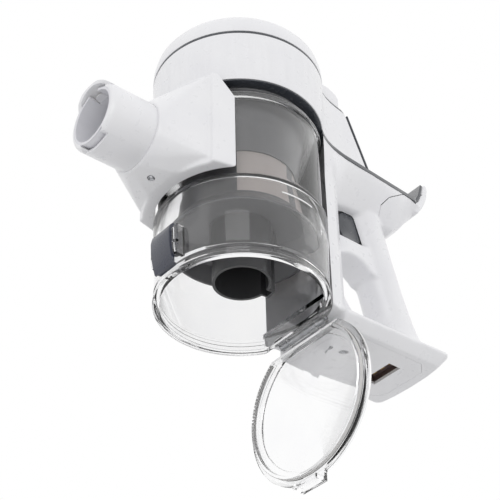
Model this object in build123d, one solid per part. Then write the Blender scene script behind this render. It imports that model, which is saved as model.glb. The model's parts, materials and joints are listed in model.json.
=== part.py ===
from build123d import *
import math
import os

# Handheld cyclone vacuum with its bin lid hanging open. Millimetres, +Z up.
# The model is laid out about the upright cyclone axis, with Z = 0 at the bin's bottom rim,
# +X towards the inlet and +Y to the vacuum's left. On export everything moves so that the
# origin is the centre of the inlet mouth, where the wand plugs in.

# ---- driving dimensions -------------------------------------------------------------
MOUTH_X = 128.6          # inlet mouth, ahead of the cyclone axis
INLET_Z = 103.6          # height of the inlet axis
TUBE_R = 19.9            # inlet tube bore
TUBE_WALL = 2.0
SLEEVE_R = 25.8          # sleeve round the inlet tube, outside
SLEEVE_WALL = 2.2
LIP_X = 123.5            # end of the sleeve's lower lip
HOOD_X = 132.0           # end of the hood over the mouth
HOOD_HALF_Y = 10.0       # ridge on top of the hood

RIM_R = 60.0             # bin, outside, at its bottom rim
SHOULDER_R = 62.0        # bin, outside, just under its shoulder
SHOULDER_Z = 70.0
NECK_R = 58.9            # bin, outside, above its shoulder
BIN_WALL = 2.2
RIM_WALL = 3.7
BIN_TOP_Z = 146.0
FLAT_X = -50.0           # flat back of the bin's rim and of the lid
LEDGE_Z = 14.0           # inside the bin, where the round wall steps in to that flat
PORT_R = 20.6            # port where the duct blows into the bin

HINGE_X = -55.0          # lid hinge
HINGE_Z = 1.0
KNUCKLE_R = 3.0
PIN_R = 1.2
PIN_FIT = 0.05
LID_T = 3.0
PLUG_R = 55.6            # ring on the lid that enters the bin's mouth

LATCH_X = 65.4           # latch pivot
LATCH_Z = 19.0
LATCH_HALF_Y = 10.0
TAB_HALF_Y = 11.5        # catch frame on the lid

CYCLONE_R = 50.0         # cyclone body under the housing
COLLAR_R = 54.0          # dark collar under the housing, inside
MESH_R = 43.7
MESH_Z0 = 67.0
MESH_Z1 = 103.0
SKIRT_R = 52.0
SKIRT_Z = 52.3
DUST_TUBE_R = 20.6
DUST_TUBE_Z = 20.0

HOUSING_Z0 = 154.4
HOUSING_R0 = 62.5
HOUSING_Z1 = 198.0
HOUSING_R1 = 64.4
HOUSING_WALL = 2.6
CAP_Z0 = 200.6
CAP_Z1 = 223.0

CORNER_X = 58.5          # corners of the front block, beside the bin
CORNER_Y = 43.0
BLOCK_Z0 = 72.6

BAY_R = 62.6             # bay behind the bin, hollowed out of the spine and handle
SPINE_X0 = -80.0
SPINE_X1 = -50.7
DECK_Z = 151.2           # top of the white handle body, under the dark trim
BELLY_Z = 126.0          # underside of the handle body, above the trigger
GRIP_TOP = (-119.0, 124.0)
GRIP_END = (-149.0, 18.0)
GRIP_R = 16.5
SHELL = 2.6

TRIGGER_X = -104.0       # trigger pivot
TRIGGER_Z = 126.0
TRIGGER_HALF_Y = 8.0

FOOT_X1 = -63.2
FOOT_Z0 = -4.0
FOOT_Z1 = 11.2
PLATE_T = 2.4

SHAFT_R = 2.5
CELL_R = 9.1
CELL_L = 65.0
CELL_X = -67.0
CELL_Z = 139.2
GAP = 0.35               # running gap between bodies
FAR = 200.0              # longer than the object, for cutting tools

to_row = Pos(-MOUTH_X, 0, -INLET_Z)


# ---- helpers ------------------------------------------------------------------------
os.makedirs("parts", exist_ok=True)


def save(name, shape):
    """Write one node, moved to the row frame."""
    export_step(to_row * shape, f"parts/{name}.step")


def side_face(points):
    """Closed face in the XZ plane from (x, z) points."""
    return make_face(Polyline(*[(x, 0, z) for x, z in points], close=True))


def spun(points):
    """Solid turned about the cyclone axis from (radius, z) points."""
    return revolve(side_face(points), axis=Axis.Z)


def tube(r_out, r_in, z0, z1):
    """Plain ring about the cyclone axis."""
    return spun([(r_in, z0), (r_out, z0), (r_out, z1), (r_in, z1)])


def drum(r, z0, z1):
    """Plain cylinder about the cyclone axis."""
    return Pos(0, 0, (z0 + z1) / 2) * Cylinder(r, z1 - z0)


def brick(x, y, z):
    """Box from three (low, high) pairs."""
    size = Box(x[1] - x[0], y[1] - y[0], z[1] - z[0])
    return Pos(sum(x) / 2, sum(y) / 2, sum(z) / 2) * size


def slab(points, half_y):
    """Side outline drawn out to both sides of the middle plane."""
    return extrude(side_face(points), amount=half_y, dir=(0, 1, 0), both=True)


def plan_face(points, z):
    """Closed face at height z from half an outline of (x, y) points, mirrored."""
    left = [(x, y, z) for x, y in points]
    right = [(x, -y, z) for x, y in reversed(points)]
    return make_face(Polyline(*left, *right, close=True))


def plan_slab(points, z0, z1):
    """Mirrored plan outline drawn up from z0 to z1."""
    return extrude(plan_face(points, z0), amount=z1 - z0, dir=(0, 0, 1))


def rod(r, start, end):
    """Cylinder between two points."""
    line = Vector(*end) - Vector(*start)
    return extrude(Plane(origin=start, z_dir=line) * Circle(r), amount=line.length)


def rod_y(r, y, x, z):
    """Cylinder along Y through (x, z), from y[0] to y[1]."""
    return rod(r, (x, y[0], z), (x, y[1], z))


def rod_x(r, x, y=0.0, z=INLET_Z):
    """Cylinder along X through (y, z), from x[0] to x[1]."""
    return rod(r, (x[0], y, z), (x[1], y, z))


def sector(a0, a1, r, z0, z1):
    """Pie slice between two angles, in degrees from +X."""
    steps = 6
    turns = [math.radians(a0 + (a1 - a0) * i / steps) for i in range(steps + 1)]
    rim = [(r * math.cos(t), r * math.sin(t), z0) for t in turns]
    return extrude(make_face(Polyline((0, 0, z0), *rim, close=True)), amount=z1 - z0, dir=(0, 0, 1))


def both_sides(y0, y1):
    """The (low, high) pairs of a feature on the left and on the right."""
    return ((y0, y1), (-y1, -y0))


def behind(x):
    """Everything behind a plane at x."""
    return brick((-FAR, x), (-FAR, FAR), (-FAR, 2 * FAR))


# ---- dust bin -----------------------------------------------------------------------
LATCH_CHEEK = [(57, 9.2), (66.5, 9.2), (67.5, 12), (68.2, 29), (66, 33), (57, 33)]


def bin_form(cut):
    """Outer form of the bin, or with cut its hollow, which is open at both ends."""
    wall = BIN_WALL if cut else 0
    over = 1 if cut else 0
    rim = RIM_R - (RIM_WALL if cut else 0)
    neck = NECK_R - wall
    shoulder = SHOULDER_R - wall
    points = [
        (0, -over),
        (rim, -over),
        (rim, 9),
        (RIM_R + 0.3 - wall, 11),
        (shoulder, SHOULDER_Z - 4 - wall),
        (shoulder - 1, SHOULDER_Z - 1 - wall),
        (neck, SHOULDER_Z - wall),
        (neck, BIN_TOP_Z + over),
        (0, BIN_TOP_Z + over),
    ]
    flat = behind(FLAT_X + (RIM_WALL if cut else 0))
    ledge_z = LEDGE_Z + (0 if cut else -BIN_WALL)
    return spun(points) - (flat & drum(FAR, -5, ledge_z))


def dust_bin():
    flange = tube(61.4, RIM_R - 1, 0, 3.2) + tube(61.0, RIM_R - 1, 6.4, 9.0)
    collar = tube(60.4, NECK_R - 1, BIN_TOP_Z - 6.5, BIN_TOP_Z - 3.0) - brick((40, FAR), (-FAR, FAR), (0, FAR))
    lugs = sector(87, 95, 61.4, BIN_TOP_Z - 5.5, BIN_TOP_Z)
    lugs += sector(-95, -87, 61.4, BIN_TOP_Z - 5.5, BIN_TOP_Z)
    body = bin_form(False) + ((flange + collar) - behind(FLAT_X)) + lugs
    for y in both_sides(LATCH_HALF_Y + 0.5, LATCH_HALF_Y + 3):
        body += slab(LATCH_CHEEK, 20) & brick((50, 80), y, (0, 40))
    body -= bin_form(True)
    body -= rod_x(PORT_R, (40, 80))
    for y in both_sides(14.5, 23):
        body += brick((HINGE_X, FLAT_X + 1), y, (HINGE_Z, HINGE_Z + KNUCKLE_R))
        body += rod_y(KNUCKLE_R, y, HINGE_X, HINGE_Z)
    body -= rod_y(PIN_R + PIN_FIT, (-40, 40), HINGE_X, HINGE_Z)
    body -= rod_y(PIN_R, (-40, 40), LATCH_X, LATCH_Z)
    save("dust_bin", body)
    seal = tube(NECK_R - BIN_WALL - 0.4, NECK_R - BIN_WALL - 3.2, BIN_TOP_Z - 4, BIN_TOP_Z)
    save("bin_top_seal", seal)


# ---- lid, modelled hanging open ------------------------------------------------------
def lid_closed():
    """The lid as it sits when shut, with its inner face at the rim."""
    plate = drum(RIM_R, -LID_T, 0) - drum(PLUG_R - 6.5, -1.2, 1)
    ring = tube(PLUG_R, PLUG_R - 2.2, -0.5, 4.2) - behind(FLAT_X + RIM_WALL + 0.6)
    bar = brick((FLAT_X + RIM_WALL + 0.6, FLAT_X + RIM_WALL + 2.8), (-30, 30), (-0.5, 4.2))
    frame = brick((58, 64.6), (-TAB_HALF_Y, TAB_HALF_Y), (-LID_T, 7.2)) - drum(61.7, -1.2, 20)
    frame -= brick((56, 90), (-TAB_HALF_Y + 2, TAB_HALF_Y - 2), (-0.6, 5.0))
    body = (plate - behind(FLAT_X)) + ring + (bar & drum(PLUG_R, -3, 5)) + frame
    body += brick((HINGE_X, FLAT_X + 2), (-14.1, 14.1), (-LID_T, -0.4))
    body += rod_y(KNUCKLE_R, (-14.1, 14.1), HINGE_X, HINGE_Z)
    return body - rod_y(PIN_R + PIN_FIT, (-40, 40), HINGE_X, HINGE_Z)


def lid():
    swing = Pos(HINGE_X, 0, HINGE_Z) * Rot(0, 90, 0) * Pos(-HINGE_X, 0, -HINGE_Z)
    seal = tube(PLUG_R + 0.4, PLUG_R, 0.9, 3.3) - behind(FLAT_X + RIM_WALL + 1.6)
    save("bin_lid", swing * lid_closed())
    save("lid_seal", swing * seal)
    save("hinge_pin", rod_y(PIN_R, (-23.6, 23.6), HINGE_X, HINGE_Z))


LATCH_SIDE = [(63.4, 10.6), (65.1, 9.0), (65.1, 4.3), (62.4, 4.3), (62.4, 2.6), (66.3, 2.2), (68.4, 9),
              (70.0, 18), (70.3, 27), (69.2, 32), (66.8, 34.8), (64.4, 34.4), (63.4, 31)]


def latch():
    body = slab(LATCH_SIDE, LATCH_HALF_Y)
    for y in both_sides(TAB_HALF_Y - 3, 20):
        body -= brick((60, 65.0), y, (-5, 8.6))
    body -= rod_y(PIN_R + PIN_FIT, (-40, 40), LATCH_X, LATCH_Z)
    body -= rod_y(2.6, (-4.3, 4.3), LATCH_X, LATCH_Z)
    save("lid_latch", body)
    reach = LATCH_HALF_Y + 3
    save("latch_pin", rod_y(PIN_R, (-reach, reach), LATCH_X, LATCH_Z))
    coil = rod_y(2.2, (-3.9, 3.9), LATCH_X, LATCH_Z) - rod_y(PIN_R + 0.1, (-9, 9), LATCH_X, LATCH_Z)
    save("latch_spring", coil)


# ---- cyclone ------------------------------------------------------------------------
MESH_WINDOWS = ((48, 101), (112, 168), (192, 248), (259, 312))


def cyclone():
    bowl = spun([
        (20, 152), (CYCLONE_R + 3, 152), (CYCLONE_R + 3, 147.5), (CYCLONE_R, 146.5),
        (CYCLONE_R - 1.5, 128), (MESH_R + 0.8, 104), (MESH_R + 0.8, MESH_Z1), (MESH_R - 1.6, MESH_Z1),
        (MESH_R - 1.6, 106), (CYCLONE_R - 4, 128), (CYCLONE_R - 3, 148.5), (20, 148.5),
    ])
    save("cyclone_body", bowl - drum(30, 140, 160))
    frame = tube(MESH_R - 1, MESH_R - 2.6, MESH_Z0, MESH_Z1)
    mesh = tube(MESH_R, MESH_R - 1, MESH_Z0, MESH_Z1)
    openings = sector(*MESH_WINDOWS[0], 60, MESH_Z0 + 2, MESH_Z1 - 2)
    panels = sector(*MESH_WINDOWS[0], 60, MESH_Z0, MESH_Z1)
    for a0, a1 in MESH_WINDOWS[1:]:
        openings += sector(a0, a1, 60, MESH_Z0 + 2, MESH_Z1 - 2)
        panels += sector(a0, a1, 60, MESH_Z0, MESH_Z1)
    ribs = mesh - panels
    save("shroud_frame", (frame - openings) + ribs)
    save("mesh_screen", mesh & panels)
    skirt = spun([
        (MESH_R, MESH_Z0), (MESH_R + 0.8, 64.5), (SKIRT_R, SKIRT_Z + 1.5), (SKIRT_R, SKIRT_Z),
        (SKIRT_R - 1.8, SKIRT_Z), (MESH_R - 2, 61.5), (DUST_TUBE_R, 62.2), (DUST_TUBE_R, MESH_Z0),
    ])
    save("cyclone_skirt", skirt)
    pipe = tube(DUST_TUBE_R, DUST_TUBE_R - 2, DUST_TUBE_Z, MESH_Z0)
    key = Rot(0, 0, 176) * brick((DUST_TUBE_R - 1.5, DUST_TUBE_R + 4.6), (-4.4, 4.4), (DUST_TUBE_Z, 61))
    slot = Rot(0, 0, 176) * brick((DUST_TUBE_R - 4, DUST_TUBE_R + 3), (-2.8, 2.8), (0, 59.2))
    cone = spun([
        (DUST_TUBE_R - 2, MESH_Z0), (DUST_TUBE_R, MESH_Z0), (31.5, 134), (31.5, 141.3), (29.8, 141.3),
        (29.8, 134),
    ])
    save("dust_tube", (pipe + key) - slot)
    save("cyclone_cone", cone)
    save("vortex_tube", tube(14, 12.4, 108, 148.5) + tube(29.9, 12.4, 148.5, 150.5))


# ---- inlet --------------------------------------------------------------------------
SLEEVE_NOSE = [(86, TUBE_R + TUBE_WALL), (86, SLEEVE_R), (124.5, SLEEVE_R), (126.8, 25.1), (128.3, 23.8),
               (128.8, TUBE_R + TUBE_WALL)]
HOOD_SIDE = [(86, 120), (127, 120), (130.4, 124), (HOOD_X, 128), (HOOD_X, 140), (86, 140)]


def inlet():
    bore = rod_x(TUBE_R, (0, FAR))
    end = drum(NECK_R + GAP, 60, 150)
    pipe = rod_x(TUBE_R + TUBE_WALL, (40, MOUTH_X)) - bore - end
    notch = brick((MOUTH_X - 9, MOUTH_X + 1), (-5, 5), (INLET_Z + TUBE_R - 3, INLET_Z + 24))
    save("inlet_tube", pipe - notch)
    axis = Axis((0, 0, INLET_Z), (1, 0, 0))
    shell = revolve(side_face([(x, INLET_Z + r) for x, r in SLEEVE_NOSE]), axis)
    room = rod_x(SLEEVE_R - SLEEVE_WALL, (0, FAR))
    shell -= room & (brick((0, FAR), (-12.5, 12.5), (0, INLET_Z)) + brick((0, FAR), (-14, 14), (INLET_Z, FAR)))
    shell -= brick((LIP_X, FAR), (-14.5, 13), (0, 82.4))
    shell += (rod_x(SLEEVE_R, (86, HOOD_X)) - room) & slab(HOOD_SIDE, 40)
    ridge = slab([(86, 127), (86, 134.5), (100, 133.5), (HOOD_X - 6, 131.6), (HOOD_X - 3, 128)], HOOD_HALF_Y)
    ridge -= rod_x(SLEEVE_R - SLEEVE_WALL, (0, FAR))
    save("inlet_sleeve", shell + ridge)
    socket = brick((96, 119), (-4.5, 4.5), (INLET_Z + 22.1, INLET_Z + 23.1))
    save("wand_socket", socket)
    contacts = brick((110, 122.5), (-3.4, -1.4), (INLET_Z + 20.4, INLET_Z + 22.1))
    contacts += brick((110, 122.5), (1.4, 3.4), (INLET_Z + 20.4, INLET_Z + 22.1))
    contacts -= rod_x(TUBE_R + 0.2, (0, FAR))
    save("wand_contacts", contacts & brick((119.7, 130), (-5, 5), (100, 140)))
    gasket = rod_x(TUBE_R + TUBE_WALL + 3, (50, 70)) - rod_x(TUBE_R + TUBE_WALL, (0, FAR))
    gasket &= drum(NECK_R + 2.6, 60, 150) - drum(NECK_R + GAP, 50, 160)
    save("port_gasket", gasket)


def front_block():
    low = plan_face([(20, 50), (42.0, 46.4), (CORNER_X - 0.5, CORNER_Y - 1), (62, 36)], BLOCK_Z0)
    high = plan_face([(20, 50), (42.0, 46.4), (CORNER_X - 3, CORNER_Y - 3), (58, 33)], HOUSING_Z0)
    core = loft([low, high], ruled=True)
    back = Plane(origin=(60, 0, 0), x_dir=(0, 1, 0), z_dir=(1, 0, 0))
    front = Plane(origin=(91.5, 0, 0), x_dir=(0, 1, 0), z_dir=(1, 0, 0))
    wide = back * Pos(0, 114) * RectangleRounded(78, 79, 12)
    snout = front * Pos(0, INLET_Z) * RectangleRounded(54.6, 54.6, 22)
    horn = loft([wide, snout])
    body = core + horn
    body -= drum(NECK_R + 3.2, 0, 160)
    body -= rod_x(TUBE_R + TUBE_WALL, (0, FAR))
    body -= rod_x(SLEEVE_R, (86, FAR)) + brick((86, FAR), (-HOOD_HALF_Y, HOOD_HALF_Y), (INLET_Z, 150))
    save("front_block", body)


# ---- motor housing, cap and motor ----------------------------------------------------
WAIST = [(-44, 44.2), (-50, 40.4), (-56, 37.6), (-62, 35.8), (-69, 34.4), (-76, 33.4)]


def extension_plan(z):
    """Half outline of the housing's rear extension at height z."""
    lift = (z - HOUSING_Z0) / (200 - HOUSING_Z0)
    rear = -101.5 + 18.5 * lift
    return WAIST + [(rear + 3, 32), (rear, 29)]


def display():
    """Flat screen let into the sloping rear wall of the housing."""
    return Pos(-91.2, 0, 178) * Rot(0, 22.1, 0) * Box(1.6, 44, 34)


def motor_housing():
    drumlike = spun([(0, HOUSING_Z0), (HOUSING_R0, HOUSING_Z0), (HOUSING_R1, HOUSING_Z1), (0, HOUSING_Z1)])
    tail = loft([plan_face(extension_plan(HOUSING_Z0), HOUSING_Z0),
                 plan_face(extension_plan(HOUSING_Z1), HOUSING_Z1)], ruled=True)
    inner = spun([(0, HOUSING_Z0 + 2.4), (HOUSING_R0 - 2.6, HOUSING_Z0 + 2.4),
                  (HOUSING_R1 - 2.6, HOUSING_Z1 + 1), (0, HOUSING_Z1 + 1)])
    waist = [(x, y - HOUSING_WALL) for x, y in WAIST[:-1]]
    room = loft([plan_face(waist + [(-94.5, 29), (-97, 26.5)], HOUSING_Z0 + 2.4),
                 plan_face(waist + [(-77, 28.6), (-79.3, 26.6)], HOUSING_Z1 + 1)], ruled=True)
    body = (drumlike + tail) - inner - room
    body -= drum(33, HOUSING_Z0 - 1, HOUSING_Z0 + 5)
    body -= display()
    save("motor_housing", body)
    ring = tube(HOUSING_R1 - 0.5, 56, HOUSING_Z1, CAP_Z0)
    hump_floor = plan_slab([(x, y - 0.6) for x, y in WAIST] + [(-80, 31.4), (-83, 28.4)], HOUSING_Z1, CAP_Z0)
    save("trim_ring", ring + (hump_floor - drum(60, 190, 210)))


def hump():
    outline = [(-40, CAP_Z0), (-82, CAP_Z0), (-80, 208), (-74, 217), (-66, 220.5), (-40, 221)]
    body = slab(outline, 30.5)
    cut = plan_slab([(-20, 55), (-60, 38.4), (-76, 30.5), (-82, 22)], 190, 230)
    body &= cut
    body -= drum(HOUSING_R1 + GAP + 0.4, 190, 240)
    save("control_hump", body)
    save("display_panel", display())


def filter_cap():
    outer = [(0, CAP_Z0), (HOUSING_R1, CAP_Z0), (HOUSING_R1 - 0.3, 208), (62.6, 214.5), (59.5, 219.2),
             (55, 221.8), (48, CAP_Z1), (0, CAP_Z1)]
    inner = [(0, CAP_Z0 - 1), (59, CAP_Z0 - 1), (59, 212), (55, 217), (48, 219.8), (0, 219.8)]
    body = spun(outer) - spun(inner)
    slots = [Rot(0, 0, 15 * i) * brick((22, 44), (-1.4, 1.4), (200, 240)) for i in range(24)]
    for slot in slots:
        body -= slot
    save("filter_cap", body)
    pleats = tube(52, 34, CAP_Z0 + 0.6, 217.2)
    save("exhaust_filter", pleats + tube(47, 20, 217.2, 219.4))
    save("filter_seal", tube(54.8, 52, CAP_Z0 + 0.6, CAP_Z0 + 3.6))


def motor():
    save("pre_filter", tube(45, 15, 141.5, 147.5))
    save("motor_gasket", tube(41, 33.2, HOUSING_Z0 + 2.4, HOUSING_Z0 + 5.4))
    bucket = tube(40, 37.6, HOUSING_Z0 + 5.4, 190) + tube(37.6, 20, HOUSING_Z0 + 5.4, HOUSING_Z0 + 7)
    save("motor_bucket", bucket)
    save("motor_mount", tube(43.5, 40, 176, 184))
    blades = [Rot(0, 0, 40 * i) * brick((6, 33), (-0.6, 0.6), (165, 171.5)) for i in range(9)]
    wheel = tube(34, SHAFT_R, 171, 172.4) + tube(7, SHAFT_R, 164, 171.5)
    for blade in blades:
        wheel += blade
    save("impeller", wheel)
    save("rotor_shaft", drum(SHAFT_R, 162, 199))
    save("rotor_magnet", tube(9.5, SHAFT_R, 179, 194))
    vanes = tube(37.6, 36, 173.4, 177) + tube(22, 7.5, 173.4, 175)
    for i in range(11):
        vanes += Rot(0, 0, 360 / 11 * i) * brick((21, 36.8), (-0.7, 0.7), (173.4, 177))
    save("diffuser", vanes)
    stator = tube(22, 17, 179, 194)
    for i in range(6):
        stator += Rot(0, 0, 60 * i) * brick((10.2, 18), (-3, 3), (179, 194))
    save("motor_stator", stator)
    coil = brick((11.5, 15.8), (-5, 5), (177.4, 195.6)) - brick((11, 17), (-3, 3), (179, 194))
    save("stator_coils", Compound(children=[Rot(0, 0, 60 * i) * coil for i in range(6)]))
    save("lower_bearing", tube(7.5, SHAFT_R + PIN_FIT, 173.4, 178))
    save("upper_bearing", tube(7.5, SHAFT_R + PIN_FIT, 195.6, 199))
    spider = tube(10.5, 7.5, 196, 199)
    for i in range(3):
        spider += Rot(0, 0, 120 * i + 60) * brick((10, 40), (-3, 3), (196.4, 198.6))
    spider += tube(40, 37.6, 190, 198.6)
    save("motor_end_cap", spider)


# ---- handle -------------------------------------------------------------------------
def handle_top(inset):
    """Boat-shaped body between the deck and the trigger, or its hollow with an inset."""
    s = inset
    low = [(-58 - s, 33 - s), (-66, 29 - s), (-86, 17 - s), (-130, 17.5 - s), (-145 + s, 10 - s)]
    high = [(-58 - s, 35 - s), (-72, 33.5 - s), (-110, 30 - s), (-156, 27 - s), (-166 + s, 21 - s)]
    return loft([plan_face(low, BELLY_Z + s), plan_face(high, DECK_Z - s)], ruled=True)


HOOK = [(-154, 149), (-158, 152), (-163.5, 157.5), (-168.5, 166), (-172.5, 180), (-174.5, 181),
        (-177, 178), (-177.5, 171), (-170.5, 157), (-163, 146.5)]
WEB = [(SPINE_X0, 97), (-120, 97), (-120, 76), (-112, 80), (-102, 83.5), (-90, 83), (SPINE_X0, 77)]


def handle():
    gx, gz = GRIP_TOP
    ex, ez = GRIP_END
    grip = rod(GRIP_R, (gx, 0, gz + 6), (ex, 0, ez))
    bore = rod(GRIP_R - SHELL, (gx, 0, gz + 2), (ex, 0, ez - 8))
    flare = Pos(ex + 0.5, 0, 17) * Cone(25, GRIP_R + 1, 14)
    flare &= plan_slab([(-120, 24), (-146, 24), (-158.5, 16)], FOOT_Z1, 30)
    body = handle_top(0) + grip + slab(WEB, 12.5) + slab(HOOK, 21.5) + flare
    body -= handle_top(SHELL) - drum(BAY_R + SHELL, 0, FAR)
    body -= bore
    body -= drum(BAY_R, 0, 2 * FAR)
    slot = brick((-117.5, -90), (-TRIGGER_HALF_Y - 0.4, TRIGGER_HALF_Y + 0.4), (97, TRIGGER_Z + 4.1))
    body -= slot
    body -= rod_y(PIN_R, (-14, 14), TRIGGER_X, TRIGGER_Z)
    left = body & brick((-FAR, 0), (0, FAR), (-FAR, 2 * FAR))
    right = body & brick((-FAR, 0), (-FAR, 0), (-FAR, 2 * FAR))
    save("handle_left", left)
    save("handle_right", right)


def spine():
    outline = [(SPINE_X1, 33.5), (-64, 32.5), (SPINE_X0, 14)]
    body = plan_slab(outline, FOOT_Z1, BELLY_Z)
    body += plan_slab([(SPINE_X1, 35), (-57.9, 34.5)], BELLY_Z, DECK_Z)
    hollow = plan_slab([(SPINE_X1 + 6, 30.5), (-62, 29.5), (SPINE_X0 + 3, 11.5)], 14, BELLY_Z - 3)
    save("spine", body - (hollow - drum(BAY_R + SHELL, 0, FAR)) - drum(BAY_R, 0, FAR))


def trigger():
    outline = [(-92.5, 100.5), (-90, 106), (-89.3, 114), (-91, 121), (-95, 124.5), (-101, 125),
               (-107, 125), (-111.5, 120), (-111.5, 103), (-106, 99)]
    body = slab(outline, TRIGGER_HALF_Y)
    body += rod_y(3.7, (-TRIGGER_HALF_Y, TRIGGER_HALF_Y), TRIGGER_X, TRIGGER_Z)
    body -= rod_y(PIN_R + PIN_FIT, (-20, 20), TRIGGER_X, TRIGGER_Z)
    body -= rod_y(2.9, (-3.3, 3.3), TRIGGER_X, TRIGGER_Z)
    save("trigger", body)
    save("trigger_pin", rod_y(PIN_R, (-12, 12), TRIGGER_X, TRIGGER_Z))
    spring = rod_y(2.3, (-2.9, 2.9), TRIGGER_X, TRIGGER_Z) - rod_y(PIN_R + 0.1, (-9, 9), TRIGGER_X, TRIGGER_Z)
    save("trigger_spring", spring)
    save("trigger_switch", brick((-127, -119), (-5, 5), (104, 114)))


def deck():
    body = plan_slab(WAIST + [(-98.5, 32), (-154, 28.5), (-157, 27)], DECK_Z, HOUSING_Z0)
    body -= drum(BAY_R - 2, 100, 200)
    body += tube(HOUSING_R0 - 0.5, COLLAR_R, HOUSING_Z0 - 1.2, HOUSING_Z0)
    curl = [(-155, DECK_Z), (-158, 152.2), (-163.4, 157.7), (-168.4, 166.2), (-172.4, 180),
            (-170.4, 180.5), (-166.3, 167.6), (-161.5, 160), (-156, HOUSING_Z0)]
    body += slab(curl, 21.4)
    body -= slab(HOOK, 60)
    save("deck_trim", body)


def foot():
    low = [(FOOT_X1, 30), (-144, 31), (-154, 25)]
    mid = [(FOOT_X1, 37), (-158, 39.5), (-163, 36)]
    top = [(FOOT_X1, 33), (-148, 30), (-159, 20)]
    shell = loft([plan_face(low, FOOT_Z0), plan_face(mid, 4.5)], ruled=True)
    shell += loft([plan_face(mid, 4.5), plan_face(top, FOOT_Z1)], ruled=True)
    room = plan_slab([(FOOT_X1 - SHELL, 27), (-143, 27), (-151, 19)], FOOT_Z0 - 1, 8.6)
    save("foot_shell", shell - room)
    plate = plan_slab([(FOOT_X1 - SHELL, 27), (-143, 27), (-151, 19)], FOOT_Z0, FOOT_Z0 + PLATE_T)
    plate -= brick((-135, -124), (-13.7, 13.7), (-20, 20))
    screws = []
    for x in (-79.0, -89.5):
        plate -= Pos(x, 0, 0) * Cylinder(2.6, 20)
        head = Pos(x, 0, FOOT_Z0 + 2.1) * Cylinder(2.4, 1.8)
        head -= Pos(x, 0, FOOT_Z0 + 1.2) * Box(3.2, 0.8, 1.2)
        screws.append(head + Pos(x, 0, 3) * Cylinder(1.3, 10))
    save("foot_plate", plate)
    save("foot_screws", Compound(children=screws))
    dock = brick((-136.4, -122.6), (-15.1, 15.1), (FOOT_Z0 + PLATE_T, 4.0))
    dock -= brick((-135, -124), (-13.7, 13.7), (-20, 2.2))
    save("dock_recess", dock)
    pads = [brick((-131.5, -127.5), (y - 2, y + 2), (1.6, 2.2)) for y in (-8, 0, 8)]
    save("dock_contacts", Compound(children=pads))


def electrics():
    cells = [rod_x(CELL_R, (CELL_X - CELL_L, CELL_X), y, CELL_Z) for y in (-9.3, 9.3)]
    start = Vector(GRIP_TOP[0], 0, GRIP_TOP[1])
    along = (Vector(GRIP_END[0], 0, GRIP_END[1]) - start).normalized()
    cells.append(rod(CELL_R, start + along * 31, start + along * (31 + CELL_L)))
    save("battery_cells", Compound(children=cells))
    ends = [brick((x, x + 1.2), (-15.5, 15.5), (CELL_Z - 5, CELL_Z + 8)) for x in (CELL_X, CELL_X - CELL_L - 1.2)]
    save("cell_end_plates", Compound(children=ends))
    save("control_board", brick((-72, -70.4), (-20, 20), (160, 190)))


dust_bin()
lid()
latch()
cyclone()
inlet()
front_block()
motor_housing()
hump()
filter_cap()
motor()
handle()
spine()
trigger()
deck()
foot()
electrics()
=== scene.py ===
"""The looks of a cordless handheld cyclone vacuum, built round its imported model.

Lengths inside the classes are millimetres, measured from the centre of the bin's bottom rim: X forward along
the inlet, Y to the vacuum's left and Z up. `Place` turns them into metres in the model's own frame.
"""

import json
import logging
import math
from dataclasses import dataclass
from enum import Enum
from typing import Callable, Sequence

import bmesh
import bpy
from mathutils import Matrix, Vector

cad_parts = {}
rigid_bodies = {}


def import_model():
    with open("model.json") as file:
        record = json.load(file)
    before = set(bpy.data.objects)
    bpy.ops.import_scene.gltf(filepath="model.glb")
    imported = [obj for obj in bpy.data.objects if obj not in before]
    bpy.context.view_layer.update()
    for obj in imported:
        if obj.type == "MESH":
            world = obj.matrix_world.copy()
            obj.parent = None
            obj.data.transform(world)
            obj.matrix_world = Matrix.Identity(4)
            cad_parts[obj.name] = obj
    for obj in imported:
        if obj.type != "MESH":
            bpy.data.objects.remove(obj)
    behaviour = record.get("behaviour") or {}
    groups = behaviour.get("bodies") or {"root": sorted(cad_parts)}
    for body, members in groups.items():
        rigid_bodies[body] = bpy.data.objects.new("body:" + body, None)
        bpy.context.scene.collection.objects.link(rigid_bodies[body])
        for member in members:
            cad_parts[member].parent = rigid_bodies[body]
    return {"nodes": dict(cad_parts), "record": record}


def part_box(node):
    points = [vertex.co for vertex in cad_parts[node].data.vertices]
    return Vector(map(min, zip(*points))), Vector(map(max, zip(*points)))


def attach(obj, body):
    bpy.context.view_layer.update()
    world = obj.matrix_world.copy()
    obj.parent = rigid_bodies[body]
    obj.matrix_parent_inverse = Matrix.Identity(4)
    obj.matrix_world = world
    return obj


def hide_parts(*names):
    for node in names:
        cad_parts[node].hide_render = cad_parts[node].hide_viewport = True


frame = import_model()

LOG = logging.getLogger("vacuum")
MM = 0.001
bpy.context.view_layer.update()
SLOTS = {row["node"]: row["material_slot"] for row in frame["record"]["subparts"]}

Point = tuple[float, float, float]
Flat = tuple[float, float]
Outline = Sequence[Flat]
Tree = bpy.types.NodeTree
Socket = bpy.types.NodeSocket

# Height of the inlet's axis, and the (x, z) of the lid's hinge.
INLET_Z = 103.6
HINGE: Flat = (-55.0, 1.0)


class Body(str, Enum):
    """The moving bodies that pieces ride on."""

    CHASSIS = "chassis"
    BIN = "bin"
    LID = "lid"
    LATCH = "latch"
    TRIGGER = "trigger"
    CAP = "cap"


# ---- places -------------------------------------------------------------------------------


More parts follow.
